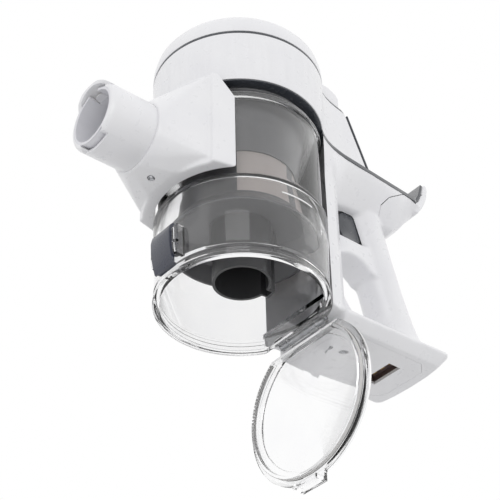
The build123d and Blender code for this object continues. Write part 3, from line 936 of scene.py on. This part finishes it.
    def cut_back(self, obj: bpy.types.Object) -> None:
        """Cut the bin's bay, the deck, the trigger's slot and the foot's pockets into the skin.

        Args:
            obj: The casing's skin, in metres.
        """
        trigger = ([(-84.0, 97.0), (-117.5, 97.0), (-117.5, 124.0)] + arc((-106.0, 119.0), 11.5, 154, 60, 6)
                   + [(-88.0, 124.0), (-84.0, 117.0)])
        seam = [(-171.0, 170.0), (-167.0, 166.0), (-155.0, 157.8), (-140.0, 150.2), (-128.0, 143.0),
                (-122.6, 135.5), (-124.2, 128.0), (-129.0, 124.0), (-136.0, 121.0)]
        far_side = [(x + self.seam_gap, z + self.seam_gap) for x, z in reversed(seam)]
        above = [(0, self.deck_half), (self.deck_back, self.deck_half)]
        carve(obj, drawn(drum, self.bay_r, *self.bay_z))
        carve(obj, drawn(plan_prism, above, self.deck_z, self.deck_z + self.cut_high))
        carve(obj, drawn(brick, self.under_low, (0, self.cut_half, self.foot_low)))
        carve(obj, drawn(side_prism, trigger, self.slot_half))
        carve(obj, drawn(plan_prism, self.plate, self.bay_z[0], self.foot_low + self.plate_depth))
        carve(obj, drawn(brick, self.dock_low, self.dock_high))
        carve(obj, drawn(side_prism, seam + far_side, self.cut_half))

    def build(self) -> bpy.types.Object:
        """Model the whole casing.

        Returns:
            The finished piece.
        """
        bm = bmesh.new()
        lofted(bm, [self.rib(*row) for row in self.ribs])
        self.grip(bm)
        self.spine(bm)
        self.web(bm)
        self.hook(bm)
        self.foot(bm)
        outward(bm)
        PLACE.settle(bm)
        obj = new_object("handle_shell", bm)
        remeshed(obj, self.voxel_mm, self.passes)
        self.cut_back(obj)
        shade(obj)
        return publish(obj, Body.CHASSIS, "white_abs", "handle_left", "handle_right", "spine", "foot_shell")


@dataclass
class DuctShell:
    """White duct that carries the dirty air from the inlet into the side of the bin."""

    corner: Flat = (57.8, 42.6)
    low: float = 72.6
    high: float = 154.0
    wrap_r: float = 70.2
    seat_r: float = 62.1
    airway_r: float = 21.9
    sleeve_r: float = 25.85
    recess_r: float = 2.7
    recess: Point = (78.5, 0, 71.5)
    voxel_mm: float = 0.8
    passes: int = 4

    def wrap(self, bm: bmesh.types.BMesh) -> None:
        """The band that hugs the bin, with its two faceted ends."""
        face = arc((0, 0), self.wrap_r, 34, 3, 6)
        plan_prism(bm, [(20.0, 50.0), (42.2, 46.2), self.corner] + face, self.low, self.high)

    def horn(self, bm: bmesh.types.BMesh) -> None:
        """The hull between the wrap and the round sleeve.

        Args:
            bm: The mesh that takes it.
        """
        hull = bmesh.new()
        lying_drum(hull, 27.4, 89.0, 92.0, INLET_Z, 64)
        brick(hull, (50.0, -self.corner[1] + 3.0, self.low + 5.0),
              (58.5, self.corner[1] - 3.0, self.high - 1.0))
        for y in (-14.0, 14.0):
            brick(hull, (60.0, y - 1.0, self.low), (70.0, y + 1.0, self.low + 4.0))
        wrapped = bmesh.ops.convex_hull(hull, input=hull.verts)
        spare = [item for item in wrapped["geom_interior"] if isinstance(item, bmesh.types.BMVert)]
        bmesh.ops.delete(hull, geom=spare, context="VERTS")
        mesh = bpy.data.meshes.new("hull")
        hull.to_mesh(mesh)
        hull.free()
        bm.from_mesh(mesh)
        bpy.data.meshes.remove(mesh)

    def cut_back(self, obj: bpy.types.Object) -> None:
        """Cut the bin's seat, the air way, the sleeve's seat, the top and the screw's recess.

        Args:
            obj: The duct's skin, in metres.
        """
        slope = [(20, 137.5), (41.5, 137.5), (54.5, 154.5), (54.5, 175), (20, 175)]
        recess = bmesh.new()
        bmesh.ops.create_cone(recess, cap_ends=True, segments=32, radius1=self.recess_r,
                              radius2=self.recess_r, depth=12, matrix=Matrix.Translation(self.recess))
        carve(obj, drawn(drum, self.seat_r, 0, 154.6))
        carve(obj, drawn(lying_drum, self.airway_r, 20, 140, INLET_Z))
        carve(obj, drawn(lying_drum, self.sleeve_r, 86, 140, INLET_Z))
        carve(obj, drawn(brick, (0, -80, self.high), (140, 80, self.high + 20)))
        carve(obj, drawn(side_prism, slope, 80))
        carve(obj, recess)

    def build(self) -> bpy.types.Object:
        """Model the duct.

        Returns:
            The finished piece.
        """
        bm = bmesh.new()
        self.wrap(bm)
        self.horn(bm)
        outward(bm)
        PLACE.settle(bm)
        obj = new_object("duct_shell", bm)
        remeshed(obj, self.voxel_mm, self.passes)
        self.cut_back(obj)
        shade(obj)
        return publish(obj, Body.CHASSIS, "white_abs", "front_block")


@dataclass
class SoftenedNode:
    """A CAD piece whose moulded edges are rounded off."""

    node: str
    body: Body
    radius_mm: float
    segments: int = 3
    crease: float = 28.0

    def build(self) -> bpy.types.Object:
        """Copy the node's mesh, merge its faces and round its edges.

        Returns:
            The finished piece.
        """
        source = frame["nodes"][self.node]
        bm = bmesh.new()
        bm.from_mesh(source.data)
        bmesh.ops.remove_doubles(bm, verts=bm.verts, dist=2e-6)
        bmesh.ops.dissolve_limit(bm, angle_limit=math.radians(0.6), verts=bm.verts, edges=bm.edges)
        for face in bm.faces:
            face.smooth = True
        obj = new_object(self.node + "_rounded", bm)
        edge = obj.modifiers.new("edges", "BEVEL")
        edge.width = self.radius_mm * MM
        edge.segments = self.segments
        edge.limit_method = "ANGLE"
        edge.angle_limit = math.radians(self.crease)
        edge.harden_normals = True
        apply_modifiers(obj)
        return publish(obj, self.body, SLOTS[self.node], self.node)


@dataclass
class ClearBin:
    """Clear moulded dust bin, open at the bottom, with its two rim beads and a shoulder."""

    flat_x: float = -50.0
    rim_wall: float = 3.7
    ledge: Flat = (11.8, 14.0)
    port_r: float = 20.6
    cheek_y: Flat = (-13.0, 10.5)
    cheek_wide: float = 2.5
    knuckle_y: Flat = (-23.0, 14.5)
    knuckle_wide: float = 8.5
    knuckle_r: float = 3.0
    cheek: Outline = ((57, 9.2), (66.5, 9.2), (67.5, 12), (68.2, 29), (66, 33), (57, 33))
    outside: Outline = (
        (0, 0.15), (60.9, 0.15), (61.25, 0.25), (61.4, 0.6), (61.4, 2.7), (61.2, 3.1), (60.3, 3.4),
        (60.05, 3.8), (60.05, 5.9), (60.3, 6.3), (60.9, 6.5), (61.0, 6.9), (61.0, 8.5), (60.7, 8.9),
        (60.3, 9.2), (60.2, 10.0), (60.35, 12.0), (61.95, 65.0), (61.95, 66.2), (61.7, 67.4), (61.1, 68.5),
        (60.2, 69.3), (59.3, 69.9), (58.95, 70.8), (58.9, 72), (58.9, 139.2), (59.2, 139.6), (60.2, 139.7),
        (60.4, 140.1), (60.4, 142.5), (60.2, 142.9), (59.2, 143.0), (58.9, 143.4), (58.9, 145.5),
        (58.6, 145.9), (58.2, 146.0), (0, 146.0))
    inside: Outline = (
        (0, -1), (56.7, -1), (56.7, 0.15), (56.3, 0.5), (56.3, 9.0), (56.7, 9.9), (57.6, 10.6), (58.1, 11.6),
        (59.7, 63.6), (59.5, 64.9), (58.8, 66.3), (57.7, 67.3), (56.95, 68.2), (56.7, 69.5), (56.7, 145.4),
        (57.1, 146.0), (57.1, 147), (0, 147))

    def turned(self, name: str, profile: Outline, edge: float, top: float) -> bpy.types.Object:
        """Turn a profile and cut its back flat below a height.

        Args:
            name: The object's name.
            profile: Points of (radius, height).
            edge: The x of the flat.
            top: Where the flat ends.

        Returns:
            The solid, in metres.
        """
        bm = drawn(spun, profile)
        PLACE.settle(bm)
        obj = new_object(name, bm)
        carve(obj, drawn(brick, (-90, -90, -10), (edge, 90, top)))
        return obj

    def build(self) -> bpy.types.Object:
        """Model the bin.

        Returns:
            The finished piece.
        """
        obj = self.turned("clear_bin", self.outside, self.flat_x, self.ledge[0])
        for y in self.cheek_y:
            side = [(x, y, z) for x, z in self.cheek]
            carve(obj, drawn(prism, side, (0, self.cheek_wide, 0)), Cut.ON)
        hollow = self.turned("hollow", self.inside, self.flat_x + self.rim_wall, self.ledge[1])
        boolean(obj, hollow, Cut.AWAY)
        carve(obj, drawn(lying_drum, self.port_r, 40, 80, INLET_Z))
        for y in self.knuckle_y:
            far = y + self.knuckle_wide
            carve(obj, drawn(brick, (HINGE[0], y, 1.05), (self.flat_x + 1, far, 3.9)), Cut.ON)
            carve(obj, drawn(cross_drum, self.knuckle_r, (y, far), *HINGE), Cut.ON)
        shade(obj, 30)
        return publish(obj, Body.BIN, "clear_pc", "dust_bin")


@dataclass
class ClearLid:
    """Clear lid with its sealing ring, catch frame and knuckle, drawn shut and then swung open."""

    flat_x: float = -50.0
    bar_x: Flat = (-45.7, -43.5)
    bar_half: float = 30.2
    tab: float = 11.5
    tab_x: Flat = (61.75, 64.6)
    post_wide: float = 2.0
    knuckle_half: float = 14.1
    knuckle_r: float = 3.0
    section: Outline = (
        (0, -3.0), (59.4, -3.0), (59.8, -2.85), (60.0, -2.5), (60.0, -0.4), (59.8, -0.1), (59.5, 0),
        (56.0, 0), (55.7, 0.2), (55.6, 0.6), (55.6, 3.8), (55.4, 4.1), (55.0, 4.2), (54.0, 4.2), (53.6, 4.1),
        (53.4, 3.8), (53.4, 0.4), (53.2, 0.1), (52.8, 0), (49.6, 0), (49.3, -0.1), (49.1, -0.4), (49.1, -0.9),
        (48.9, -1.15), (48.5, -1.2), (0, -1.2))

    def weld(self, obj: bpy.types.Object, low: Point, high: Point) -> None:
        """Weld a block onto the lid."""
        carve(obj, drawn(brick, low, high), Cut.ON)

    def catch_frame(self, obj: bpy.types.Object) -> None:
        """The frame at the front that the latch holds: a foot, two posts and a bar across them.

        Args:
            obj: The lid, in metres.
        """
        near, far = self.tab_x
        self.weld(obj, (58.0, -self.tab, -3.0), (far, self.tab, -0.65))
        for y in (-self.tab, self.tab - self.post_wide):
            self.weld(obj, (near, y, -0.9), (far, y + self.post_wide, 7.2))
        self.weld(obj, (near + 0.05, -self.tab + 0.05, 5.0), (far - 0.05, self.tab - 0.05, 7.15))

    def build(self) -> bpy.types.Object:
        """Model the lid and swing it open.

        Returns:
            The finished piece.
        """
        bm = drawn(spun, self.section)
        PLACE.settle(bm)
        obj = new_object("clear_lid", bm)
        for edge, low in ((self.flat_x, -10.0), (self.bar_x[0], 0.02)):
            carve(obj, drawn(brick, (-90, -90, low), (edge, 90, 20)))
        self.weld(obj, (self.bar_x[0], -self.bar_half, -0.5), (self.bar_x[1], self.bar_half, 4.2))
        self.catch_frame(obj)
        sides = (-self.knuckle_half, self.knuckle_half)
        self.weld(obj, (HINGE[0], sides[0], -2.9), (self.flat_x + 2, sides[1], -0.4))
        carve(obj, drawn(cross_drum, self.knuckle_r, sides, *HINGE), Cut.ON)
        pivot = Matrix.Translation(PLACE.at(HINGE[0], 0, HINGE[1]))
        obj.data.transform(pivot @ Matrix.Rotation(math.pi / 2, 4, "Y") @ pivot.inverted())
        shade(obj, 30)
        return publish(obj, Body.LID, "clear_pc", "bin_lid")


@dataclass
class LevelMark:
    """Printed line that shows how full the bin may get."""

    height: float = 55.0
    radius: float = 61.78
    start: float = 78.0
    end: float = 103.0
    thickness: float = 1.1
    proud: float = 0.12
    sunk: float = 0.1

    def build(self) -> bpy.types.Object:
        """Model the line as a thin curved bar at the face of the bin's wall.

        Returns:
            The finished piece.
        """
        count = int((self.end - self.start) / 2)
        outer = arc((0, 0), self.radius + self.proud, self.start, self.end, count)
        inner = arc((0, 0), self.radius - self.sunk, self.end, self.start, count)
        bm = drawn(prism, [(x, y, self.height) for x, y in outer + inner], (0, 0, self.thickness))
        outward(bm)
        PLACE.settle(bm)
        return publish(new_object("level_mark", bm), Body.BIN, "level_ink")


@dataclass
class DuctScrew:
    """Screw at the bottom of the duct's recess, with a round drive."""

    x: float = 78.5
    z: float = 74.0
    radius: float = 2.3
    head: float = 1.6
    drive_depth: float = 0.8

    def build(self) -> bpy.types.Object:
        """Model the screw's head.

        Returns:
            The finished piece.
        """
        bm = bmesh.new()
        bmesh.ops.create_cone(bm, cap_ends=True, segments=32, radius1=self.radius * 0.8, radius2=self.radius,
                              depth=self.head, matrix=Matrix.Translation((self.x, 0, self.z)))
        under = [face for face in bm.faces if face.normal.z < -0.9]
        bmesh.ops.inset_region(bm, faces=under, thickness=self.radius * 0.4, depth=0.0)
        rim = list({vert for face in under for vert in face.verts})
        bmesh.ops.translate(bm, vec=(0, 0, self.drive_depth), verts=rim)
        PLACE.settle(bm)
        obj = new_object("duct_screw", bm)
        shade(obj)
        return publish(obj, Body.CHASSIS, "pin_steel")


@dataclass
class RearBezel:
    """Dark border round the screen on the sloping rear wall."""

    foot: Flat = (-101.4, 154.4)
    head: Flat = (-83.2, 199.4)
    half: float = 31.6
    lift: float = 1.3
    rounding: float = 0.5
    window: Point = (12.0, 44.6, 34.6)
    window_at: Point = (-91.2, 0, 178.0)
    tilt: float = 22.1

    def build(self) -> bpy.types.Object:
        """Model the border.

        Returns:
            The finished piece.
        """
        bm = bmesh.new()
        low, high = self.foot, self.head
        slab = [(low[0] + 0.4, low[1]), high, (high[0] - self.lift, high[1]), (low[0] - self.lift, low[1])]
        side_prism(bm, slab, self.half)
        outward(bm)
        bmesh.ops.bevel(bm, geom=bm.edges, offset=self.rounding, segments=2, profile=0.5, affect="EDGES",
                        material=-1)
        PLACE.settle(bm)
        obj = new_object("rear_bezel", bm)
        window = bmesh.new()
        turn = Matrix.Translation(self.window_at) @ Matrix.Rotation(math.radians(self.tilt), 4, "Y")
        bmesh.ops.create_cube(window, size=1.0, matrix=turn @ Matrix.Diagonal((*self.window, 1.0)))
        carve(obj, window)
        shade(obj)
        return publish(obj, Body.CHASSIS, "dark_trim")


@dataclass
class WandCatch:
    """The wand's catch: painted shade for the slot by the hood's ridge, and a white tongue under the
    contacts.
    """

    slot_x: float = 114.6
    slot_r: float = 25.72
    slot_turn: float = 64.5
    slot_size: Point = (3.8, 0.5, 1.6)
    tongue_low: Point = (119.2, -4.2, 123.6)
    tongue_high: Point = (125.2, 4.2, 124.15)
    tongue_corner: float = 3.2

    def slot(self) -> bpy.types.Object:
        """Model the slot as a thin dark box: painted shade that stands in for its shadowed depth.

        Returns:
            The finished piece.
        """
        bm = bmesh.new()
        axis = Matrix.Translation((self.slot_x, 0, INLET_Z))
        turn = Matrix.Rotation(math.radians(self.slot_turn), 4, "X") @ Matrix.Translation((0, self.slot_r, 0))
        bmesh.ops.create_cube(bm, size=1.0, matrix=axis @ turn @ Matrix.Diagonal((*self.slot_size, 1.0)))
        PLACE.settle(bm)
        return publish(new_object("catch_slot_painted_shade", bm), Body.CHASSIS, "dark_trim")

    def tongue(self) -> bpy.types.Object:
        """Model the white tongue under the contacts.

        Returns:
            The finished piece.
        """
        bm = drawn(brick, self.tongue_low, self.tongue_high)
        near_end = self.tongue_high[0] - 0.1
        front = [edge for edge in bm.edges if all(vert.co.x > near_end for vert in edge.verts)]
        upright = [edge for edge in front if abs(edge.verts[0].co.z - edge.verts[1].co.z) > 0.1]
        bmesh.ops.bevel(bm, geom=upright, offset=self.tongue_corner, segments=6, profile=0.5, affect="EDGES",
                        material=-1)
        PLACE.settle(bm)
        return publish(new_object("catch_tongue", bm), Body.CHASSIS, "white_abs")


@dataclass
class Studio:
    """White surroundings, a pale floor below the camera, two soft lights and the camera."""

    floor_z: float = -0.82
    floor_size: float = 30.0
    eye: Point = (525.9, 636.43, -577.63)
    forward: Point = (-0.5121, -0.6103, 0.6043)
    up: Point = (0.3690, 0.4790, 0.7965)
    lens: float = 106.56

    def camera(self) -> None:
        """Stand the camera below and in front of the left side, looking up."""
        data = bpy.data.cameras.new("camera")
        data.lens = self.lens
        data.sensor_width = 36.0
        data.clip_start = 0.01
        camera = bpy.data.objects.new("camera", data)
        bpy.context.scene.collection.objects.link(camera)
        back = -Vector(self.forward).normalized()
        right = Vector(self.up).cross(back).normalized()
        upward = back.cross(right)
        turn = Matrix((right, upward, back)).transposed().to_4x4()
        camera.matrix_world = Matrix.Translation(PLACE.at(*self.eye)) @ turn
        bpy.context.scene.camera = camera

    def light(self, name: str, spot: Point, size: float, power: float) -> None:
        """A square soft light that faces the vacuum.

        Args:
            name: The light's name.
            spot: Where it stands, in metres.
            size: How far across it is, in metres.
            power: Its power in watts.
        """
        data = bpy.data.lights.new(name, "AREA")
        data.shape = "SQUARE"
        data.size = size
        data.energy = power
        lamp = bpy.data.objects.new(name, data)
        bpy.context.scene.collection.objects.link(lamp)
        aim = PLACE.at(-20, 0, 90) - Vector(spot)
        lamp.rotation_euler = aim.to_track_quat("-Z", "Y").to_euler()
        lamp.location = spot

    def floor(self) -> None:
        """A pale floor sheet."""
        bm = bmesh.new()
        bmesh.ops.create_grid(bm, x_segments=1, y_segments=1, size=self.floor_size / 2,
                              matrix=Matrix.Translation((0, 0, self.floor_z)))
        obj = new_object("floor", bm)
        finish = MouldedPlastic("PaleFloorPaint", "DDDDDD", "D9D9D9", 0.7, grain_mm=8.0)
        obj.data.materials.append(finish.material())

    def build(self) -> None:
        """Set the whole stage."""
        world = bpy.data.worlds.new("studio")
        bpy.context.scene.world = world
        world.use_nodes = True
        world.node_tree.nodes["Background"].inputs["Color"].default_value = linear("FFFFFF")
        world.node_tree.nodes["Background"].inputs["Strength"].default_value = 1.0
        bpy.context.scene.view_settings.view_transform = "Standard"
        # Light has to cross several clear walls to reach what stands behind the bin.
        bpy.context.scene.cycles.max_bounces = 24
        bpy.context.scene.cycles.transmission_bounces = 24
        self.floor()
        self.camera()
        self.light("key", (1.1, 1.3, 0.2), 0.9, 4.0)
        self.light("rim", (-1.4, 0.9, 0.5), 0.7, 1.5)


def softened() -> list[SoftenedNode]:
    """The CAD pieces that keep their shape and get rounded edges."""
    return [
        SoftenedNode("motor_housing", Body.CHASSIS, 0.6),
        SoftenedNode("control_hump", Body.CHASSIS, 2.2, 4),
        SoftenedNode("filter_cap", Body.CAP, 0.3),
        SoftenedNode("deck_trim", Body.CHASSIS, 0.5),
        SoftenedNode("trigger", Body.TRIGGER, 0.8),
        SoftenedNode("lid_latch", Body.LATCH, 0.6),
        SoftenedNode("inlet_sleeve", Body.CHASSIS, 0.5),
        SoftenedNode("inlet_tube", Body.CHASSIS, 0.4),
        SoftenedNode("trim_ring", Body.CHASSIS, 0.3),
    ]


def main() -> None:
    """Build every sub-assembly in order and report each piece."""
    logging.basicConfig(level=logging.INFO, format="%(name)s %(message)s")
    for obj in list(bpy.context.scene.objects):
        if obj.type in {"CAMERA", "LIGHT"}:
            bpy.data.objects.remove(obj)
    PAINT.dress_nodes()
    HandleShell().build()
    DuctShell().build()
    DuctScrew().build()
    ClearBin().build()
    ClearLid().build()
    LevelMark().build()
    RearBezel().build()
    # The catch's slot is a dark box of painted shade, not a cut.
    WandCatch().slot()
    WandCatch().tongue()
    for piece in softened():
        piece.build()
    Studio().build()


if __name__ == "__main__":
    main()
